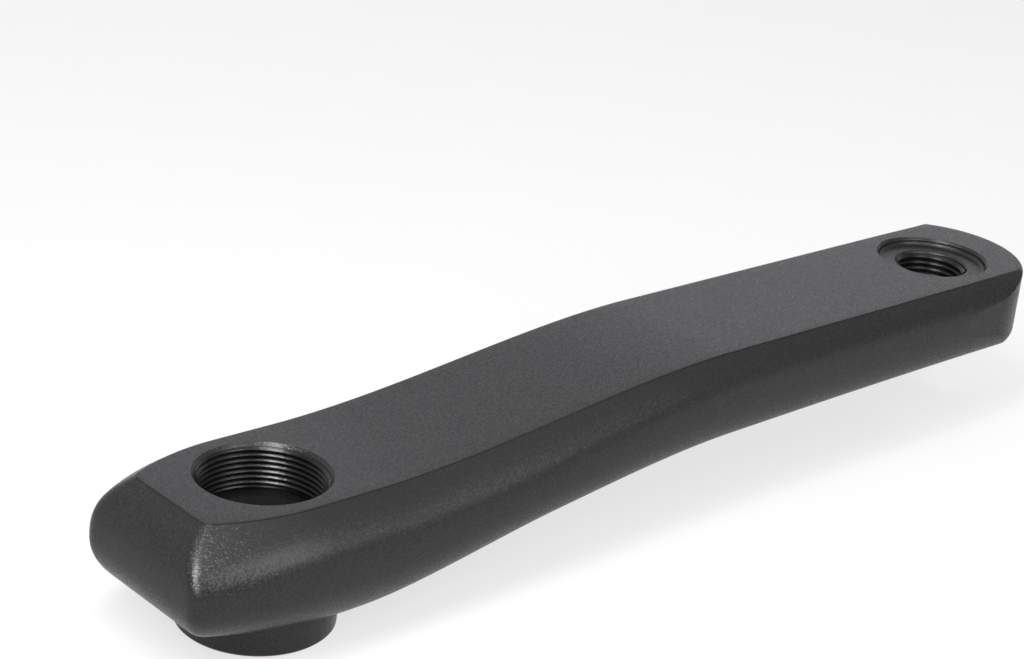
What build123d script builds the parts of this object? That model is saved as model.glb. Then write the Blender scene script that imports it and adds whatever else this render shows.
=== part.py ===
# Bicycle crank arm for a square taper spindle, one aluminium forging.
# Millimetres. Origin on the spindle axis at the inner boss face, +X to the pedal, +Z to the outer side.
from build123d import *
from math import acos, cos, pi, radians, sin, sqrt, tan
import os

# Arm layout
crank_length = 170.0         # spindle axis to pedal axis
boss_height = 26.5           # inner boss face to the outer face at the spindle end
boss_stand = 2.2             # inner boss face to the back where the arm is thickest
arm_offset = 6.6             # step of the outer face from the spindle end to the pedal end
offset_start = 12.0          # the step begins this far from the spindle axis
offset_end = 95.0            # and ends this far from it

# Arm section, half widths from the middle plane
face_half_width = 14.0       # flat outer face
spindle_half_width = 20.9    # widest line of the bulged sides at the spindle end
pedal_half_width = 18.2      # widest line of the bulged sides at the pedal end
spindle_back_half = 4.0      # flat of the back at the spindle end
pedal_back_half = 14.0       # flat of the back at the pedal end
face_edge_angle = 32.0       # degrees, fall of the sides where they leave the outer face

# Arm section, depths below the outer face
spindle_side_depth = 10.0    # widest line at the spindle end
pedal_side_depth = 8.0       # widest line at the pedal end
arm_thickness = 16.9         # back where the arm has thinned
pedal_thickness = 15.7       # back at the pedal end
width_taper_end = 130.0      # the sides reach the pedal end width here
thinning_end = 52.0          # the arm has thinned and its back is flat from here on
back_rise_start = 18.0       # from here to the spindle end the back rises again
back_rise_radius = 170.0     # arc of that rise

# Spindle end of the arm
end_face_reach = 18.0        # spindle axis to the end edge of the outer face
end_reach = 25.0             # spindle axis to the tip of the rounded end
end_rise = 1.3               # back of the arm to the underside of the rounded end
face_plan_radius = 40.0      # plan curve of the outer face edges past the spindle axis
sharp_plan_radius = 85.0     # plan curve of the widest line past the spindle axis, on the -Y side
soft_plan_radius = 42.0      # the same on the +Y side, where the end runs rounder into the side

# Pedal end of the arm
pedal_end_reach = 20.5       # pedal axis to the end
pedal_end_radius = 19.5      # round of the end, in plan
pedal_end_shift = 1.7        # middle plane to the middle of that round, on the +Y side
pedal_end_taper = 1.8        # degrees, the sides close in toward the round
pedal_corner_radius = 7.0    # where the round meets the +Y side, in plan

# Edges
ridge_radius = 2.2           # mitred ridges between the rounded end and the sides
face_fillet = 0.6            # edge of the outer face
pedal_face_fillet = 1.0      # outer edge of the pedal end
pedal_back_fillet = 3.0      # back edge of the pedal end

# Spindle boss on the back
boss_radius = 13.5           # at the inner face
boss_draft = 3.0             # degrees, the boss widens toward the arm
boss_chamfer = 0.5           # rim of the inner face

# Extractor hole and square socket
extractor_radius = 11.0      # M22 x 1 thread, major radius
extractor_depth = 10.0       # outer face to the bolt seat
extractor_chamfer = 0.6      # lead-in at the outer face
relief_depth = 0.5           # thread relief groove, into the wall
relief_width = 1.8           # thread relief groove, along the axis
socket_flats = 12.2          # across the square at the bolt seat
socket_taper = 2.0           # degrees on each flat, wider toward the inner face
socket_corner_flat = 1.2     # flat across each corner of the square
socket_turn = 45.0           # degrees, sets the corners of the square along and across the arm
countersink_radius = 9.6     # round lead-in of the square at the inner face
countersink_depth = 2.2

# Pedal hole
pedal_thread_radius = 7.14   # 9/16 inch by 20 turns per inch, major radius
washer_recess_radius = 11.0
washer_recess_depth = 1.5
recess_chamfer = 0.5         # rim of the washer recess
recess_fillet = 0.8          # floor of the washer recess
pedal_hole_chamfer = 0.4     # lead-in at both ends of the thread

# A quarter of an ellipse drawn as one curve has its handles at this share of the half axes
round_handle = 0.5523

# Lead-ins at the mouths of the holes
lead_in_angle = 45.0

# What the outer face and the back leave of the spindle end
spindle_thickness = boss_height - boss_stand
end_thickness = spindle_thickness - end_rise


def blend(x, start, end):
    """Share from 0 to 1 of a soft step between start and end."""
    t = min(max((x - start) / (end - start), 0.0), 1.0)
    return t * t * (3.0 - 2.0 * t)


def along(x, at_spindle, at_pedal, taper_end):
    """A size that goes softly from its value at the spindle to its value at the pedal."""
    return at_spindle + (at_pedal - at_spindle) * blend(x, 0.0, taper_end)


def arc_drop(x, radius):
    """Drop of an arc below the straight line that it leaves at 0, for x under 0."""
    past = min(x, 0.0)
    return radius - sqrt(radius * radius - past * past)


def face_height(x):
    """Height of the flat outer face."""
    return boss_height + arm_offset * blend(x, offset_start, offset_end)


def back_height(x):
    """Height of the flat of the back."""
    thinned = along(x, spindle_thickness, arm_thickness, thinning_end)
    further = (arm_thickness - pedal_thickness) * blend(x, thinning_end, crank_length)
    return face_height(x) - thinned + further + arc_drop(x - back_rise_start, back_rise_radius)


def bulge(face_edge, widest, back_edge):
    """Two curves from the edge of the outer face over the widest point to the edge of the back."""
    away = 1.0 if widest[0] > 0.0 else -1.0
    fall = radians(face_edge_angle)
    upper = round_handle * (face_edge[1] - widest[1])
    lower = round_handle * (widest[1] - back_edge[1])
    inward = round_handle * (widest[0] - back_edge[0])
    leave = (face_edge[0] + away * upper * cos(fall), face_edge[1] - upper * sin(fall))
    to_widest = Bezier(face_edge, leave, (widest[0], widest[1] + upper), widest)
    to_back = Bezier(widest, (widest[0], widest[1] - lower), (back_edge[0] + inward, back_edge[1]), back_edge)
    return to_widest, to_back


# Stations of the sections along the arm
overrun = 1.0
form_gap = 0.05
arm_start = -end_reach - overrun
pedal_tip = crank_length + pedal_end_reach
arm_end = pedal_tip + overrun
station_count = 22
station_step = (arm_end - arm_start) / (station_count - 1)
stations = [arm_start + station_step * i for i in range(station_count)]

# Form of the round pedal end, with its edges rounded
# The round runs smoothly out of the -Y side and meets the +Y side in a rounded corner
end_centre = pedal_tip - pedal_end_radius
closing = radians(pedal_end_taper)
tangent_x = end_centre + pedal_end_radius * sin(closing)
tangent_y = pedal_end_radius * cos(closing) - pedal_end_shift
form_start = crank_length - 2.0 * pedal_end_radius
form_half = tangent_y + (tangent_x - form_start) * tan(closing)
corner_turn = pi / 2.0 - closing - acos(1.0 - 2.0 * pedal_end_shift * cos(closing) / pedal_end_radius)
corner_x = end_centre + pedal_end_radius * cos(corner_turn)
corner_y = pedal_end_shift + pedal_end_radius * sin(corner_turn)
form_floor = back_height(crank_length) - form_gap
form_height = pedal_thickness + 2.0 * form_gap
with BuildPart() as pedal_form:
    with BuildSketch(Plane.XY.offset(form_floor)) as end_plan:
        with BuildLine():
            Line((form_start, -form_half), (tangent_x, -tangent_y))
            ThreePointArc((tangent_x, -tangent_y), (pedal_tip, pedal_end_shift), (corner_x, corner_y))
            Polyline((corner_x, corner_y), (form_start, form_half), (form_start, -form_half))
        make_face()
        corner = end_plan.vertices().sort_by_distance((corner_x, corner_y))[0]
        fillet(corner, pedal_corner_radius)
    extrude(amount=form_height)
    fillet(pedal_form.edges().group_by(Axis.Z)[0].sort_by(Axis.X)[1:], pedal_back_fillet)
    fillet(pedal_form.edges().group_by(Axis.Z)[-1].sort_by(Axis.X)[1:], pedal_face_fillet)

# What the round pedal end leaves of a plain block
with BuildPart() as pedal_waste:
    with BuildSketch(Plane.XY.offset(form_floor)):
        with Locations((form_start, 0.0)):
            Rectangle(4.0 * pedal_end_radius, 4.0 * pedal_end_radius, align=(Align.MIN, Align.CENTER))
    extrude(amount=form_height + overrun)
    add(pedal_form.part, mode=Mode.SUBTRACT)

# Sections of the arm, with a flat outer face and bulged sides
sections = []
for x in stations:
    face_half = face_half_width - arc_drop(x, face_plan_radius)
    side_half = along(x, spindle_half_width, pedal_half_width, width_taper_end)
    sharp_half = side_half - arc_drop(x, sharp_plan_radius)
    soft_half = side_half - arc_drop(x, soft_plan_radius)
    back_half = along(x, spindle_back_half, pedal_back_half, thinning_end)
    face_z = face_height(x)
    side_z = face_z - along(x, spindle_side_depth, pedal_side_depth, thinning_end)
    back_z = back_height(x)
    outline = [
        Line((-face_half, face_z), (face_half, face_z)),
        *bulge((face_half, face_z), (soft_half, side_z), (back_half, back_z)),
        Line((back_half, back_z), (-back_half, back_z)),
        *bulge((-face_half, face_z), (-sharp_half, side_z), (-back_half, back_z)),
    ]
    sections.append(Plane.YZ.offset(x) * Face(Wire(outline)))

with BuildPart() as crank_arm:
    # Arm body
    loft(sections)

    # Rounded spindle end, which meets the sides in two ridges
    top_z = boss_height + arm_offset + 2.0 * overrun
    end_slope = tan(radians(face_edge_angle))
    end_edge = (overrun / end_slope - end_face_reach, boss_height + overrun)
    end_tip = (-end_reach, boss_height - spindle_side_depth)
    end_under = (-spindle_back_half, boss_height - end_thickness)
    with BuildSketch(Plane.XZ.offset(spindle_half_width + overrun)):
        with BuildLine():
            bulge(end_edge, end_tip, end_under)
            Polyline(
                end_under,
                (-spindle_back_half, -overrun),
                (arm_end, -overrun),
                (arm_end, top_z),
                (end_edge[0] + (top_z - end_edge[1]) / end_slope, top_z),
                end_edge,
            )
        make_face()
    extrude(amount=-2.0 * (spindle_half_width + overrun), mode=Mode.INTERSECT)

    # Round pedal end
    add(pedal_waste.part, mode=Mode.SUBTRACT)

    # Softened ridges and outer face edge
    end_edges = crank_arm.edges().filter_by_position(Axis.X, -end_reach, -end_face_reach / 2.0)
    ridges = end_edges.filter_by(lambda edge: edge.bounding_box().size.X > overrun)
    fillet(ridges, ridge_radius)
    outer_face = crank_arm.faces().sort_by(SortBy.AREA)[-1]
    fillet(outer_face.outer_wire().edges(), face_fillet)

    # Spindle boss
    with BuildSketch(Plane.XY):
        Circle(boss_radius)
    extrude(amount=boss_height - spindle_side_depth, taper=-boss_draft)
    chamfer(crank_arm.faces().sort_by(Axis.Z)[0].outer_wire().edges(), boss_chamfer)

    # Extractor hole with its thread relief above the bolt seat
    seat_z = boss_height - extractor_depth
    with BuildSketch(Plane.XY.offset(seat_z)):
        Circle(extractor_radius)
    extrude(amount=extractor_depth + overrun, mode=Mode.SUBTRACT)
    with BuildSketch(Plane.XY.offset(seat_z)):
        Circle(extractor_radius + relief_depth)
    extrude(amount=relief_width, mode=Mode.SUBTRACT)
    with BuildSketch(Plane.XY.offset(boss_height)):
        Circle(extractor_radius + extractor_chamfer)
    extrude(amount=-extractor_chamfer, taper=lead_in_angle, mode=Mode.SUBTRACT)

    # Square taper socket, corners along and across the arm
    inner_flats = socket_flats + 2.0 * seat_z * tan(radians(socket_taper))
    with BuildSketch(Plane.XY) as socket_mouth:
        Rectangle(inner_flats, inner_flats, rotation=socket_turn)
        chamfer(socket_mouth.vertices(), socket_corner_flat / sqrt(2.0))
    extrude(amount=seat_z, taper=socket_taper, mode=Mode.SUBTRACT)
    with BuildSketch(Plane.XY):
        Circle(countersink_radius)
    extrude(amount=countersink_depth, taper=lead_in_angle, mode=Mode.SUBTRACT)

    # Pedal hole with its washer recess
    pedal_face_z = face_height(crank_length)
    recess_z = pedal_face_z - washer_recess_depth
    pedal_back_z = pedal_face_z - pedal_thickness
    with BuildSketch(Plane.XY.offset(recess_z)):
        with Locations((crank_length, 0.0)):
            Circle(washer_recess_radius)
    extrude(amount=washer_recess_depth + overrun, mode=Mode.SUBTRACT)
    fillet(crank_arm.edges(Select.LAST).sort_by(Axis.Z)[0], recess_fillet)
    rim_overrun = overrun * tan(radians(lead_in_angle))
    with BuildSketch(Plane.XY.offset(pedal_face_z + overrun)):
        with Locations((crank_length, 0.0)):
            Circle(washer_recess_radius + recess_chamfer + rim_overrun)
    extrude(amount=-recess_chamfer - overrun, taper=lead_in_angle, mode=Mode.SUBTRACT)
    with BuildSketch(Plane.XY.offset(pedal_back_z - overrun)):
        with Locations((crank_length, 0.0)):
            Circle(pedal_thread_radius)
    extrude(amount=pedal_thickness + overrun, mode=Mode.SUBTRACT)
    for mouth_z, inward in ((recess_z, -pedal_hole_chamfer), (pedal_back_z, pedal_hole_chamfer)):
        with BuildSketch(Plane.XY.offset(mouth_z)):
            with Locations((crank_length, 0.0)):
                Circle(pedal_thread_radius + pedal_hole_chamfer)
        extrude(amount=inward, taper=lead_in_angle, mode=Mode.SUBTRACT)

os.makedirs("parts", exist_ok=True)
crank_arm.part.label = "crank_arm"
export_step(crank_arm.part, "parts/crank_arm.step")
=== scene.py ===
# Looks of a forged bicycle crank arm in charcoal flake paint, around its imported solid.
# Sizes are in millimetres, if not said otherwise, and become metres where a mesh is made.
# The origin is on the spindle axis at the inner boss face, +X to the pedal, +Z to the outer side.
from math import atan2, cos, pi, radians, sin, sqrt, tan

import bmesh
import bpy
import numpy as np
from mathutils import Euler, Matrix, Vector, geometry


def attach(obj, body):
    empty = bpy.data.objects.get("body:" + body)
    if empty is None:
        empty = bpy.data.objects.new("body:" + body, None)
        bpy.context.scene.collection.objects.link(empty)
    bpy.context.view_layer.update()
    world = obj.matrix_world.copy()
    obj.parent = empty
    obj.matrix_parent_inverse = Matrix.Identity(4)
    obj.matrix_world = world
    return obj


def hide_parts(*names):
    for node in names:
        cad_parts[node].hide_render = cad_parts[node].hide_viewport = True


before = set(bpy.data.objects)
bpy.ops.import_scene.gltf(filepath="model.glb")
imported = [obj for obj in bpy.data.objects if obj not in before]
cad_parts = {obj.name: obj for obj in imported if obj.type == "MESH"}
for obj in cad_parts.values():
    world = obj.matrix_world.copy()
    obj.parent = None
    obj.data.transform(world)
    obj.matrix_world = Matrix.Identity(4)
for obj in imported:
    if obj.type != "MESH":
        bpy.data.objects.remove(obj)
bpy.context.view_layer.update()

millimetre = 0.001

# Arm layout, as in the solid
crank_length = 170.0
boss_height = 26.5
boss_stand = 2.2
arm_offset = 6.6
offset_start = 12.0
offset_end = 95.0

# Arm section
face_half_width = 14.0
spindle_half_width = 20.9
pedal_half_width = 18.2
spindle_back_half = 4.0
pedal_back_half = 14.0
face_edge_angle = radians(32.0)
spindle_side_depth = 10.0
pedal_side_depth = 8.0
spindle_thickness = boss_height - boss_stand
arm_thickness = 16.9
pedal_thickness = 15.7
width_taper_end = 130.0
thinning_end = 52.0
back_rise_start = 18.0
back_rise_radius = 170.0

# Spindle end
end_face_reach = 18.0
end_reach = 25.0
end_rise = 1.3
end_thickness = spindle_thickness - end_rise
face_plan_radius = 40.0
sharp_plan_radius = 85.0
soft_plan_radius = 42.0

# Pedal end
pedal_end_reach = 20.5
pedal_end_radius = 19.5
pedal_end_shift = 1.7
pedal_end_taper = radians(1.8)
pedal_corner_radius = 7.0

# Edges
ridge_radius = 2.2
face_fillet = 0.6
pedal_face_fillet = 1.0
pedal_back_fillet = 3.0
ridge_end_share = 0.55       # the ridges reach this share of their width at the outer face and the back
least_round = 0.01           # the edge of the outer face keeps this much where its round has run out
rim_round = 0.12             # paint rounds the rims of the holes
rim_wall_share = 0.3         # and takes at most this share of the walls beside them

# Boss, extractor hole and square socket
boss_radius = 13.5
boss_draft = radians(3.0)
boss_chamfer = 0.5
boss_sunk_share = 0.6        # the boss ends inside the arm, at this share of the height of the bolt seat
extractor_radius = 11.0
extractor_depth = 10.0
extractor_chamfer = 0.6
relief_depth = 0.5
relief_width = 1.8
socket_flats = 12.2
socket_taper = radians(2.0)
socket_corner_flat = 1.2
countersink_radius = 9.6
countersink_depth = 2.2
seat_z = boss_height - extractor_depth

# Pedal hole
pedal_thread_radius = 7.14
washer_recess_radius = 11.0
washer_recess_depth = 1.5
recess_chamfer = 0.5
recess_fillet = 0.8
pedal_hole_chamfer = 0.4

# Threads, which the solid leaves as plain bores at their major radius
extractor_pitch = 1.0
pedal_pitch = 1.27
thread_share = 0.54          # depth of a thread over its pitch
thread_fade = 0.6            # turns over which a thread runs out at its ends
thread_end_width = 0.4       # width that is left there
extractor_bare_share = 0.8   # part of the lead-in of the extractor hole without thread
pedal_bare_share = 0.5       # part of the lead-ins of the pedal hole without thread

# Section of a thread, in pitches along the axis and thread depths into the bore
thread_section = ((-0.47, -0.01), (-0.10, 1.0), (-0.04, 1.06), (0.04, 1.06), (0.10, 1.0), (0.47, -0.01))

# Fineness of the mesh
end_columns = 26
ridge_columns = 9
side_columns = 240
pedal_columns = 70
ring_count = 128
edge_rows = 5                # on the rounded edge of the outer face
close_levels = (0.003, 0.01, 0.02, 0.035, 0.05, 0.07, 0.09, 0.12)
even_level = 0.15            # from this level down the rows are evenly spaced
upper_rows = 32              # from there to the widest line
lower_rows = 41              # from the widest line to the back
recess_rows = 9
arc_points = 200
straight_points = 300
end_points = 400
fill_spacing = 2.0
body_crease = radians(27.0)  # steeper edges stay sharp
thread_crease = radians(50.0)

# Small steps and gaps
small_step = 0.01
settling_rounds = 8          # tries to find where a side meets the spindle end
weld_gap = 0.002
sliver = 0.0005
fill_gap = 1e-5
hole_edge_share = 0.9995     # a face whose middle is nearer to the axis than this share lies in the hole
boss_overlap = 1.0           # the underside of the arm runs this far into the boss

# A quarter of an ellipse drawn as one curve has its handles at this share of the half axes
round_handle = 0.5523

# Stage, in metres
floor_half = 3.0
floor_drop = 0.0002          # boss face to the floor
floor_white_share = 0.7      # part of the floor that is the plain white of the background

# Paint
flakes_per_metre = 5600.0


# Form of the arm

def blend(x, start, end):
    """Share from 0 to 1 of a soft step between start and end."""
    t = np.clip((np.asarray(x, float) - start) / (end - start), 0.0, 1.0)
    return t * t * (3.0 - 2.0 * t)


def along(x, at_spindle, at_pedal, taper_end):
    """A size that goes softly from its value at the spindle to its value at the pedal."""
    return at_spindle + (at_pedal - at_spindle) * blend(x, 0.0, taper_end)


def arc_drop(x, radius):
    """Drop of an arc below the straight line that it leaves at 0, for x under 0."""
    past = np.minimum(x, 0.0)
    return radius - np.sqrt(radius * radius - past * past)


def face_height(x):
    """Height of the flat outer face."""
    return boss_height + arm_offset * blend(x, offset_start, offset_end)


def back_height(x):
    """Height of the flat of the back."""
    thinned = along(x, spindle_thickness, arm_thickness, thinning_end)
    further = (arm_thickness - pedal_thickness) * blend(x, thinning_end, crank_length)
    return face_height(x) - thinned + further + arc_drop(x - back_rise_start, back_rise_radius)


def curve(points, t):
    """Point at t on the curve with these four handles."""
    a, b, c, d = points
    u = 1.0 - t
    return a * u ** 3 + 3.0 * b * u * u * t + 3.0 * c * u * t * t + d * t ** 3


def bulge(face_edge, widest, back_edge, level):
    """Point on a bulged outline: level 0 is the outer face's edge, 1 the widest line, 2 the back's edge."""
    upper = round_handle * (face_edge[1] - widest[1])
    lower = round_handle * (widest[1] - back_edge[1])
    inward = round_handle * (widest[0] - back_edge[0])
    first = np.clip(level, 0.0, 1.0)
    second = np.clip(level - 1.0, 0.0, 1.0)
    out_handles = (face_edge[0], face_edge[0] + upper * cos(face_edge_angle), widest[0], widest[0])
    out_heights = (face_edge[1], face_edge[1] - upper * sin(face_edge_angle), widest[1] + upper, widest[1])
    in_handles = (widest[0], widest[0], back_edge[0] + inward, back_edge[0])
    in_heights = (widest[1], widest[1] - lower, back_edge[1], back_edge[1])
    out = np.where(level <= 1.0, curve(out_handles, first), curve(in_handles, second))
    height = np.where(level <= 1.0, curve(out_heights, first), curve(in_heights, second))
    return out, height


def side_point(x, level, plan_radius):
    """Half width and height of a side of the arm."""
    face_half = face_half_width - arc_drop(x, face_plan_radius)
    side_half = along(x, spindle_half_width, pedal_half_width, width_taper_end) - arc_drop(x, plan_radius)
    back_half = along(x, spindle_back_half, pedal_back_half, thinning_end)
    face_z = face_height(x)
    side_z = face_z - along(x, spindle_side_depth, pedal_side_depth, thinning_end)
    return bulge((face_half, face_z), (side_half, side_z), (back_half, back_height(x)), level)


def end_x(height):
    """Where the rounded spindle end is at a height."""
    levels = np.linspace(0.0, 2.0, end_points)
    edge = (end_face_reach, boss_height)
    tip = (end_reach, boss_height - spindle_side_depth)
    under = (spindle_back_half, boss_height - end_thickness)
    reach, heights = bulge(edge, tip, under, levels)
    return -np.interp(height, heights[::-1], reach[::-1])


def edge_round(x):
    """Radius of the outer face's edge, which runs out where the round pedal end begins."""
    centre = crank_length + pedal_end_reach - pedal_end_radius
    run_out = centre + 0.5 * pedal_end_radius
    return least_round + face_fillet * (1.0 - blend(x, crank_length, run_out))


def eased_level(x, level):
    """Level that leaves the top of the sides to the rounded edge of the outer face."""
    # A curve leaves its first point at three times the length of its first handle
    taken = edge_round(x) * (sin(face_edge_angle) - tan(face_edge_angle / 2.0))
    share = taken / (3.0 * round_handle * pedal_side_depth * cos(face_edge_angle))
    return np.where(level < 1.0, level + share * (1.0 - level), level)


def spaced(points, count):
    """The same polyline with evenly spaced points."""
    steps = np.hypot(*np.diff(points, axis=0).T)
    run = np.concatenate(([0.0], np.cumsum(steps)))
    even = np.linspace(0.0, run[-1], count)
    return np.column_stack((np.interp(even, run, points[:, 0]), np.interp(even, run, points[:, 1])))


def turned(centre, radius, first, last, count=arc_points):
    """Points on an arc, from one direction to another."""
    turn = np.linspace(first, last, count)[:, None]
    return centre + radius * np.hstack((np.cos(turn), np.sin(turn)))


def pedal_outline(level, shift):
    """Plan of one half of the pedal end at a level, from its side to its tip.

    The shift is how far the middle of the round lies to this half's side.
    """
    height = float(side_point(crank_length, level, soft_plan_radius)[1])
    depth = float(face_height(crank_length)) - height
    rise = height - float(back_height(crank_length))
    lost = 0.0
    for gap, radius in ((depth, pedal_face_fillet), (rise, pedal_back_fillet)):
        if gap < radius:
            lost = max(lost, radius - sqrt(radius ** 2 - (radius - gap) ** 2))
    radius = pedal_end_radius - lost
    corner = pedal_corner_radius - lost
    facing = pi / 2.0 - pedal_end_taper
    outward = np.array((cos(facing), sin(facing)))
    onward = np.array((sin(facing), -cos(facing)))
    reach = radius - (shift + abs(shift)) * cos(pedal_end_taper)
    ahead = sqrt(max((radius - corner) ** 2 - (reach - corner) ** 2, 0.0))
    leave = facing - atan2(ahead, reach - corner)
    middle = np.array((crank_length + pedal_end_reach - pedal_end_radius, shift))
    corner_middle = middle + (reach - corner) * outward + ahead * onward
    corner_arc = turned(corner_middle, corner, facing, leave)
    back = np.linspace(2.0 * pedal_end_radius, small_step, straight_points)[:, None]
    side = corner_arc[0] - back * onward
    return np.vstack((side, corner_arc, turned(middle, radius, leave, 0.0)[1:]))


def half_outline(level, plan_radius, shift):
    """Plan of one half of the arm at a level, from the middle of the spindle end to the pedal end's tip."""
    def on_side(x):
        """Plan point and height on the side at this level."""
        half, height = side_point(x, eased_level(x, level), plan_radius)
        return np.array((x, float(half))), float(height)

    end = -end_face_reach
    for _ in range(settling_rounds):
        end = float(end_x(on_side(end)[1]))
    corner = on_side(end)[0]
    onward = on_side(end + small_step)[0] - corner
    onward = onward / np.hypot(*onward)
    steep = 1.0 - abs(1.0 - level)
    reach = ridge_radius * (ridge_end_share + (1.0 - ridge_end_share) * steep)
    start = corner - np.array((0.0, reach))
    leave_x = corner[0] + reach * onward[0]
    leave = on_side(leave_x)[0]
    across = np.column_stack((np.full(end_columns, end), np.linspace(0.0, start[1], end_columns)))
    t = np.linspace(0.0, 1.0, ridge_columns + 1)[1:, None]
    ridge = start * (1.0 - t) ** 2 + 2.0 * corner * t * (1.0 - t) + leave * t * t

    outline = pedal_outline(level, shift)
    room = side_point(outline[:, 0], eased_level(outline[:, 0], level), plan_radius)[0] - outline[:, 1]
    first = int(np.argmax(room > 0.0))
    share = room[first] / (room[first] - room[first - 1])
    meet = outline[first] * (1.0 - share) + outline[first - 1] * share
    side_x = np.linspace(leave_x, meet[0], side_columns + 1)[1:]
    side = np.column_stack((side_x, side_point(side_x, eased_level(side_x, level), plan_radius)[0]))
    rounded = spaced(np.vstack((meet[None], outline[first:])), pedal_columns + 1)[1:]
    return np.vstack((across, ridge, side, rounded))


def full_outline(level):
    """Closed plan of the arm at a level, as points with their heights."""
    soft = half_outline(level, soft_plan_radius, pedal_end_shift)
    sharp = half_outline(level, sharp_plan_radius, -pedal_end_shift)
    soft_z = side_point(soft[:, 0], eased_level(soft[:, 0], level), soft_plan_radius)[1]
    sharp_z = side_point(sharp[:, 0], eased_level(sharp[:, 0], level), sharp_plan_radius)[1]
    upper = np.column_stack((soft, soft_z))
    lower = np.column_stack((sharp[:, 0], -sharp[:, 1], sharp_z))
    return np.vstack((upper, lower[-2:0:-1]))


def face_edge_outline(turn):
    """Closed outline on the rounded edge of the outer face, turned this far from the flat."""
    edge = full_outline(0.0)
    ahead = np.roll(edge, -1, axis=0) - np.roll(edge, 1, axis=0)
    length = np.hypot(ahead[:, 0], ahead[:, 1])
    normal = np.column_stack((-ahead[:, 1], ahead[:, 0])) / length[:, None]
    radius = edge_round(edge[:, 0])
    out = radius * (sin(turn) - tan(face_edge_angle / 2.0))
    plan = edge[:, :2] + normal * out[:, None]
    return np.column_stack((plan, face_height(plan[:, 0]) - radius * (1.0 - cos(turn))))


# Mesh pieces

class Skin:
    """Collects points and faces, and turns them into one mesh."""

    def __init__(self):
        self.points = []
        self.faces = []
        self.count = 0

    def add(self, points):
        """Adds points and gives their numbers."""
        numbers = np.arange(self.count, self.count + len(points))
        self.points.append(np.asarray(points, float))
        self.count += len(points)
        return numbers

    def strip(self, first, second, closed=True):
        """Joins two rows of points with four-sided faces."""
        last = len(first) if closed else len(first) - 1
        for i in range(last):
            j = (i + 1) % len(first)
            self.faces.append((first[i], second[i], second[j], first[j]))

    def make(self, name, material, crease):
        """The mesh, welded and shaded smooth up to a crease angle, as an object."""
        mesh = bpy.data.meshes.new(name)
        points = np.vstack(self.points) * millimetre
        mesh.from_pydata(points.tolist(), [], [tuple(map(int, face)) for face in self.faces])
        piece = bpy.data.objects.new(name, mesh)
        bpy.context.scene.collection.objects.link(piece)
        weld(mesh)
        mesh.shade_smooth()
        mesh.set_sharp_from_angle(angle=crease)
        mesh.materials.append(material)
        return piece


def weld(mesh):
    """Merges points that lie on each other and turns all faces outward."""
    work = bmesh.new()
    work.from_mesh(mesh)
    bmesh.ops.remove_doubles(work, verts=work.verts, dist=weld_gap * millimetre)
    bmesh.ops.dissolve_degenerate(work, edges=work.edges, dist=sliver * millimetre)
    bmesh.ops.recalc_face_normals(work, faces=work.faces)
    work.to_mesh(mesh)
    work.free()


def circle(radius, height, centre_x=0.0):
    """Points round a hole."""
    turn = np.linspace(0.0, 2.0 * pi, ring_count, endpoint=False)
    level = np.full(ring_count, height)
    return np.column_stack((centre_x + radius * np.cos(turn), radius * np.sin(turn), level))


def flat_fill(skin, outline, holes, height, spacing):
    """Fills an outline in plan with triangles that follow a height, and leaves the round holes open."""
    low = outline.min(0)
    high = outline.max(0)
    columns = np.arange(low[0] + spacing, high[0], spacing)
    rows = np.arange(low[1] + spacing, high[1], spacing)
    inner = np.array([(x, y) for x in columns for y in rows])
    for centre_x, radius in holes:
        inner = inner[np.hypot(inner[:, 0] - centre_x, inner[:, 1]) > radius + 0.5 * spacing]
    loops = [outline[:, :2]]
    for centre_x, radius in holes:
        loops.append(circle(radius, 0.0, centre_x)[:, :2])
    edges = []
    first = 0
    for loop in loops:
        count = len(loop)
        edges += [(first + i, first + (i + 1) % count) for i in range(count)]
        first += count
    points = [Vector(p) for p in np.vstack(loops + [inner])]
    verts, _, faces, *_ = geometry.delaunay_2d_cdt(points, edges, [], 1, fill_gap)
    plan = np.array([(v.x, v.y) for v in verts])
    numbers = skin.add(np.column_stack((plan, height(plan[:, 0]))))
    for face in faces:
        middle = plan[list(face)].mean(0)
        if all(np.hypot(middle[0] - cx, middle[1]) > radius * hole_edge_share for cx, radius in holes):
            skin.faces.append(tuple(numbers[i] for i in face))


def rounded_profile(profile, radius):
    """A profile of radius and height pairs with its inner corners rounded a little."""
    points = np.asarray(profile, float)
    result = [points[0]]
    for before, corner, after in zip(points[:-2], points[1:-1], points[2:]):
        length_back = np.hypot(*(before - corner))
        length_on = np.hypot(*(after - corner))
        reach = min(radius, rim_wall_share * length_back, rim_wall_share * length_on)
        back = (before - corner) / length_back * reach
        onward = (after - corner) / length_on * reach
        result += [corner + back, corner + 0.25 * (back + onward), corner + onward]
    result.append(points[-1])
    return np.array(result)


def lathe(skin, profile, centre_x=0.0):
    """Turns a profile of radius and height pairs about an upright axis."""
    rows = [skin.add(circle(radius, height, centre_x)) for radius, height in profile]
    for first, second in zip(rows[:-1], rows[1:]):
        skin.strip(first, second)


def square_reach(turn, flats):
    """Distance from the axis to the wall of the square socket in a direction."""
    corner = turn % (pi / 2.0)
    wall = flats / 2.0 / np.cos(corner - pi / 4.0)
    tip = flats / 2.0 * 2.0 ** 0.5 - socket_corner_flat / 2.0
    nearest = np.minimum(corner, pi / 2.0 - corner)
    return np.minimum(wall, tip / np.cos(nearest))


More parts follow.
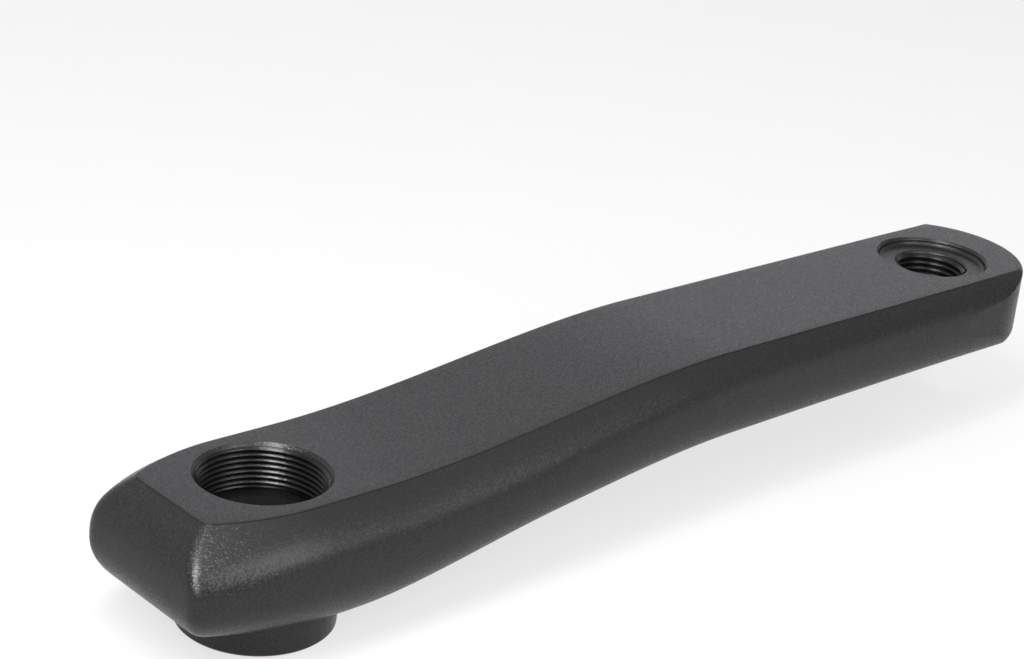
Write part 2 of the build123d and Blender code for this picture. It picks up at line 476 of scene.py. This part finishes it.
def body_piece(material):
    """The whole arm as a fine mesh of the solid's own form."""
    skin = Skin()
    face_turns = np.linspace(0.0, face_edge_angle, edge_rows)
    upper_levels = np.linspace(even_level, 1.0, upper_rows)
    lower_levels = 1.0 + np.linspace(0.0, 1.0, lower_rows + 1)[1:]
    levels = np.concatenate((close_levels, upper_levels, lower_levels))
    outlines = [face_edge_outline(turn) for turn in face_turns]
    outlines += [full_outline(level) for level in levels]
    rows = [skin.add(outline) for outline in outlines]
    for first, second in zip(rows[:-1], rows[1:]):
        skin.strip(first, second)

    # Outer face and back
    pedal_mouth = pedal_thread_radius + pedal_hole_chamfer
    recess_rim = washer_recess_radius + recess_chamfer
    face_holes = [(0.0, extractor_radius + extractor_chamfer), (crank_length, recess_rim)]
    flat_fill(skin, outlines[0], face_holes, face_height, fill_spacing)
    flat_fill(skin, outlines[-1], [(crank_length, pedal_mouth)], back_height, fill_spacing)

    # Inside the boss the arm's own underside is open
    points = np.vstack(skin.points)
    from_axis = np.hypot(points[:, 0], points[:, 1])
    inside = (from_axis < boss_radius - boss_overlap) & (points[:, 2] < seat_z / 2.0)
    skin.faces = [face for face in skin.faces if not all(inside[list(face)])]

    # Boss and the ring of its inner face
    rim = boss_radius + boss_chamfer * tan(boss_draft)
    cone_top = seat_z * boss_sunk_share
    boss = [
        (countersink_radius, 0.0),
        (boss_radius - boss_chamfer, 0.0),
        (rim, boss_chamfer),
        (boss_radius + cone_top * tan(boss_draft), cone_top),
    ]
    lathe(skin, rounded_profile(boss, rim_round))

    # Extractor hole down to the bolt seat
    relief_z = seat_z + relief_width
    relief = extractor_radius + relief_depth
    extractor = [
        (extractor_radius + extractor_chamfer, boss_height),
        (extractor_radius, boss_height - extractor_chamfer),
        (extractor_radius, relief_z),
        (relief, relief_z),
        (relief, seat_z),
    ]
    lathe(skin, rounded_profile(extractor, rim_round))

    # Bolt seat, square socket and its round lead-in
    turn = np.linspace(0.0, 2.0 * pi, ring_count, endpoint=False)
    lead_floor = countersink_radius - countersink_depth
    outer = skin.add(circle(relief, seat_z))
    seat_reach = square_reach(turn, socket_flats)
    growth = 2.0 * tan(socket_taper)
    lead_reach = square_reach(turn, socket_flats + growth * (seat_z - countersink_depth))
    lead_z = np.where(lead_reach < lead_floor, countersink_depth, countersink_radius - lead_reach)
    cone_reach = np.maximum(lead_reach, lead_floor)
    plan = np.column_stack((np.cos(turn), np.sin(turn)))
    seat_edge = skin.add(np.column_stack((plan * seat_reach[:, None], np.full(ring_count, seat_z))))
    lead_edge = skin.add(np.column_stack((plan * lead_reach[:, None], lead_z)))
    cone_edge = skin.add(np.column_stack((plan * cone_reach[:, None], lead_z)))
    mouth = skin.add(circle(countersink_radius, 0.0))
    loops = (outer, seat_edge, lead_edge, cone_edge, mouth)
    for first, second in zip(loops[:-1], loops[1:]):
        skin.strip(first, second)

    # Pedal hole
    pedal_face = float(face_height(crank_length))
    pedal_back = float(back_height(crank_length))
    recess_z = pedal_face - washer_recess_depth
    corner_middle = np.array((washer_recess_radius - recess_fillet, recess_z + recess_fillet))
    pedal_hole = [
        (recess_rim, pedal_face),
        (washer_recess_radius, pedal_face - recess_chamfer),
        *turned(corner_middle, recess_fillet, 0.0, -pi / 2.0, recess_rows),
        (pedal_mouth, recess_z),
        (pedal_thread_radius, recess_z - pedal_hole_chamfer),
        (pedal_thread_radius, pedal_back + pedal_hole_chamfer),
        (pedal_mouth, pedal_back),
    ]
    lathe(skin, rounded_profile(pedal_hole, rim_round), crank_length)
    return skin.make("crank_arm_body", material, body_crease)


def thread_piece(name, material, centre_x, low, high, radius, pitch):
    """The ridge of a thread inside a bore, fading out at both ends."""
    skin = Skin()
    depth = thread_share * pitch
    steps = int(ring_count * (high - low) / pitch)
    travel = np.linspace(0.0, 1.0, steps + 1)
    turn = 2.0 * pi * travel * (high - low) / pitch
    height = low + travel * (high - low)
    fade = np.minimum(1.0, np.minimum(travel, 1.0 - travel) * (high - low) / (thread_fade * pitch))
    rows = []
    for rise, share in thread_section:
        reach = radius - depth * share * fade
        lift = height + rise * pitch * (thread_end_width + (1.0 - thread_end_width) * fade)
        points = np.column_stack((centre_x + reach * np.cos(turn), reach * np.sin(turn), lift))
        rows.append(skin.add(points))
    for first, second in zip(rows[:-1], rows[1:]):
        skin.strip(first, second, closed=False)
    return skin.make(name, material, thread_crease)


# Materials

def new_material(name):
    """An empty material with its shader."""
    material = bpy.data.materials.new(name)
    material.use_nodes = True
    tree = material.node_tree
    return material, tree.nodes, tree.links, tree.nodes["Principled BSDF"]


def flake_paint(name, ground, flake, roughness, tilt, coat):
    """Charcoal paint with fine metal flakes that each lie at their own angle, under a thin clear coat."""
    material, nodes, links, shader = new_material(name)
    place = nodes.new("ShaderNodeTexCoord")

    # One random colour for each flake
    cells = nodes.new("ShaderNodeTexVoronoi")
    cells.inputs["Scale"].default_value = flakes_per_metre
    links.new(place.outputs["Object"], cells.inputs["Vector"])

    # Each flake turns the surface its own way
    centred = nodes.new("ShaderNodeVectorMath")
    centred.operation = "SUBTRACT"
    centred.inputs[1].default_value = (0.5, 0.5, 0.5)
    links.new(cells.outputs["Color"], centred.inputs[0])
    scaled = nodes.new("ShaderNodeVectorMath")
    scaled.operation = "SCALE"
    scaled.inputs["Scale"].default_value = tilt
    links.new(centred.outputs["Vector"], scaled.inputs[0])
    surface = nodes.new("ShaderNodeNewGeometry")
    tilted = nodes.new("ShaderNodeVectorMath")
    tilted.operation = "ADD"
    links.new(surface.outputs["Normal"], tilted.inputs[0])
    links.new(scaled.outputs["Vector"], tilted.inputs[1])
    direction = nodes.new("ShaderNodeVectorMath")
    direction.operation = "NORMALIZE"
    links.new(tilted.outputs["Vector"], direction.inputs[0])
    links.new(direction.outputs["Vector"], shader.inputs["Normal"])

    # Some flakes are brighter than the ground
    split = nodes.new("ShaderNodeSeparateColor")
    links.new(cells.outputs["Color"], split.inputs["Color"])
    tone = nodes.new("ShaderNodeValToRGB")
    tone.color_ramp.elements[0].position = 0.25
    tone.color_ramp.elements[0].color = (*ground, 1.0)
    tone.color_ramp.elements[1].position = 1.0
    tone.color_ramp.elements[1].color = (*flake, 1.0)
    links.new(split.outputs["Red"], tone.inputs["Fac"])
    links.new(tone.outputs["Color"], shader.inputs["Base Color"])

    shader.inputs["Metallic"].default_value = 0.6
    shader.inputs["Roughness"].default_value = roughness
    shader.inputs["Specular IOR Level"].default_value = 0.3
    shader.inputs["Specular Tint"].default_value = (0.3, 0.3, 0.3, 1.0)
    shader.inputs["Coat Weight"].default_value = coat
    shader.inputs["Coat Roughness"].default_value = 0.32
    return material


def shows_background(nodes, links):
    """1 for rays from the camera, also by way of a mirror or glass, and 0 for those that gather light."""
    path = nodes.new("ShaderNodeLightPath")
    direct = nodes.new("ShaderNodeMath")
    direct.operation = "ADD"
    links.new(path.outputs["Is Camera Ray"], direct.inputs[0])
    links.new(path.outputs["Is Glossy Ray"], direct.inputs[1])
    seen = nodes.new("ShaderNodeMath")
    seen.operation = "ADD"
    seen.use_clamp = True
    links.new(direct.outputs["Value"], seen.inputs[0])
    links.new(path.outputs["Is Transmission Ray"], seen.inputs[1])
    return seen.outputs["Value"]


def floor_paper(name):
    """White paper with a faint grain, part of it the plain white of the background."""
    material, nodes, links, shader = new_material(name)
    place = nodes.new("ShaderNodeTexCoord")
    grain = nodes.new("ShaderNodeTexNoise")
    grain.inputs["Scale"].default_value = 60.0
    links.new(place.outputs["Object"], grain.inputs["Vector"])
    tone = nodes.new("ShaderNodeValToRGB")
    tone.color_ramp.elements[0].color = (0.49, 0.49, 0.49, 1.0)
    tone.color_ramp.elements[1].color = (0.52, 0.52, 0.52, 1.0)
    links.new(grain.outputs["Fac"], tone.inputs["Fac"])
    links.new(tone.outputs["Color"], shader.inputs["Base Color"])
    shader.inputs["Roughness"].default_value = 0.9
    shader.inputs["Specular IOR Level"].default_value = 0.1

    white = nodes.new("ShaderNodeEmission")
    white.inputs["Color"].default_value = (1.0, 1.0, 1.0, 1.0)
    white.inputs["Strength"].default_value = 1.0
    part = nodes.new("ShaderNodeMath")
    part.operation = "MULTIPLY"
    part.inputs[1].default_value = floor_white_share
    links.new(shows_background(nodes, links), part.inputs[0])
    mix = nodes.new("ShaderNodeMixShader")
    links.new(part.outputs["Value"], mix.inputs["Fac"])
    links.new(shader.outputs["BSDF"], mix.inputs[1])
    links.new(white.outputs["Emission"], mix.inputs[2])
    links.new(mix.outputs["Shader"], nodes["Material Output"].inputs["Surface"])
    return material


# Stage

def add_floor():
    """A wide pale floor a hair below the boss face."""
    mesh = bpy.data.meshes.new("floor")
    signs = ((-1.0, -1.0), (1.0, -1.0), (1.0, 1.0), (-1.0, 1.0))
    corners = [(x * floor_half, y * floor_half, -floor_drop) for x, y in signs]
    mesh.from_pydata(corners, [], [(0, 1, 2, 3)])
    mesh.materials.append(floor_paper("floor_paper"))
    floor = bpy.data.objects.new("floor", mesh)
    bpy.context.scene.collection.objects.link(floor)


def add_world():
    """Soft light from all round, seen as white behind the floor and as grey in front and overhead."""
    overhead_slope = -1.2
    pedal_side_slope = 0.3
    greyest = -1.15
    whitest = 0.22
    light_strength = 0.55
    world = bpy.data.worlds.new("studio")
    bpy.context.scene.world = world
    world.use_nodes = True
    nodes = world.node_tree.nodes
    links = world.node_tree.links
    nodes.clear()
    place = nodes.new("ShaderNodeTexCoord")
    split = nodes.new("ShaderNodeSeparateXYZ")
    links.new(place.outputs["Generated"], split.inputs["Vector"])
    behind = nodes.new("ShaderNodeMath")
    behind.operation = "MULTIPLY_ADD"
    behind.inputs[1].default_value = overhead_slope
    links.new(split.outputs["Z"], behind.inputs[0])
    links.new(split.outputs["Y"], behind.inputs[2])
    beside = nodes.new("ShaderNodeMath")
    beside.operation = "MULTIPLY_ADD"
    beside.inputs[1].default_value = pedal_side_slope
    links.new(split.outputs["X"], beside.inputs[0])
    links.new(behind.outputs["Value"], beside.inputs[2])
    reach = nodes.new("ShaderNodeMapRange")
    reach.inputs["From Min"].default_value = greyest
    reach.inputs["From Max"].default_value = whitest
    links.new(beside.outputs["Value"], reach.inputs["Value"])
    tone = nodes.new("ShaderNodeValToRGB")
    tone.color_ramp.elements[0].color = (0.21, 0.21, 0.22, 1.0)
    tone.color_ramp.elements[1].color = (0.94, 0.93, 1.0, 1.0)
    middle = tone.color_ramp.elements.new(0.4)
    middle.color = (0.36, 0.36, 0.39, 1.0)
    links.new(reach.outputs["Result"], tone.inputs["Fac"])
    seen = nodes.new("ShaderNodeBackground")
    seen.inputs["Strength"].default_value = 1.0
    links.new(tone.outputs["Color"], seen.inputs["Color"])
    light = nodes.new("ShaderNodeBackground")
    light.inputs["Color"].default_value = (1.0, 1.0, 1.0, 1.0)
    light.inputs["Strength"].default_value = light_strength
    mix = nodes.new("ShaderNodeMixShader")
    output = nodes.new("ShaderNodeOutputWorld")
    links.new(shows_background(nodes, links), mix.inputs["Fac"])
    links.new(light.outputs["Background"], mix.inputs[1])
    links.new(seen.outputs["Background"], mix.inputs[2])
    links.new(mix.outputs["Shader"], output.inputs["Surface"])


def add_light(name, place, aim, width, height, power):
    """A soft box that looks at a point."""
    lamp = bpy.data.lights.new(name, "AREA")
    lamp.shape = "RECTANGLE"
    lamp.size = width
    lamp.size_y = height
    lamp.energy = power
    light = bpy.data.objects.new(name, lamp)
    light.location = place
    light.rotation_euler = (Vector(aim) - Vector(place)).to_track_quat("-Z", "Y").to_euler()
    bpy.context.scene.collection.objects.link(light)


def add_camera(place, heading, dip, roll, lens):
    """Camera that looks along a heading from +Y towards +X, dipped below level and rolled."""
    data = bpy.data.cameras.new("camera")
    data.lens = lens
    data.sensor_width = 36.0
    data.clip_start = 0.01
    camera = bpy.data.objects.new("camera", data)
    level = Euler((pi / 2.0 - dip, 0.0, -heading)).to_matrix() @ Matrix.Rotation(roll, 3, "Z")
    camera.matrix_world = Matrix.Translation(Vector(place) * millimetre) @ level.to_4x4()
    bpy.context.scene.collection.objects.link(camera)
    bpy.context.scene.camera = camera


paint = flake_paint(
    "charcoal_flake", ground=(0.0154, 0.0160, 0.0174), flake=(0.0315, 0.0282, 0.0250),
    roughness=0.32, tilt=0.41, coat=0.33,
)
thread_paint = flake_paint(
    "charcoal_thread", ground=(0.003, 0.003, 0.003), flake=(0.012, 0.011, 0.010),
    roughness=0.16, tilt=0.25, coat=0.5,
)

body = body_piece(paint)
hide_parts("crank_arm")
extractor_thread = thread_piece(
    "extractor_thread", thread_paint, 0.0,
    seat_z + relief_width, boss_height - extractor_bare_share * extractor_chamfer,
    extractor_radius, extractor_pitch,
)
pedal_floor = float(face_height(crank_length)) - washer_recess_depth
pedal_bare = pedal_bare_share * pedal_hole_chamfer
pedal_thread = thread_piece(
    "pedal_thread", thread_paint, crank_length,
    float(back_height(crank_length)) + pedal_bare, pedal_floor - pedal_bare,
    pedal_thread_radius, pedal_pitch,
)
for piece in (body, extractor_thread, pedal_thread):
    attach(piece, "root")

bpy.context.scene.view_settings.view_transform = "Standard"
add_floor()
add_world()

# Soft boxes: place, aim, width and height in metres, power in watts
add_light("side_key", (0.16, -0.45, 0.37), (0.0, -0.02, 0.02), 0.28, 0.44, 2.1)
add_light("ridge_key", (-0.28, -0.15, 0.52), (-0.023, -0.015, 0.021), 0.11, 0.40, 6.0)
add_light("ridge_low", (-0.41, -0.38, 0.30), (-0.023, -0.016, 0.02), 0.20, 0.26, 1.3)
add_light("upper_side", (0.26, -0.17, 0.40), (0.02, -0.015, 0.025), 0.16, 0.16, 0.05)
add_light("overhead", (0.1, 0.15, 0.9), (0.08, 0.0, 0.0), 0.8, 0.8, 2.0)
add_light("low_back", (0.9, 1.15, 0.5), (0.03, 0.0, 0.03), 1.4, 0.6, 1.2)
add_camera(
    (-210.1, -272.9, 195.6),
    heading=radians(43.87), dip=radians(22.23), roll=radians(5.74), lens=82.95,
)
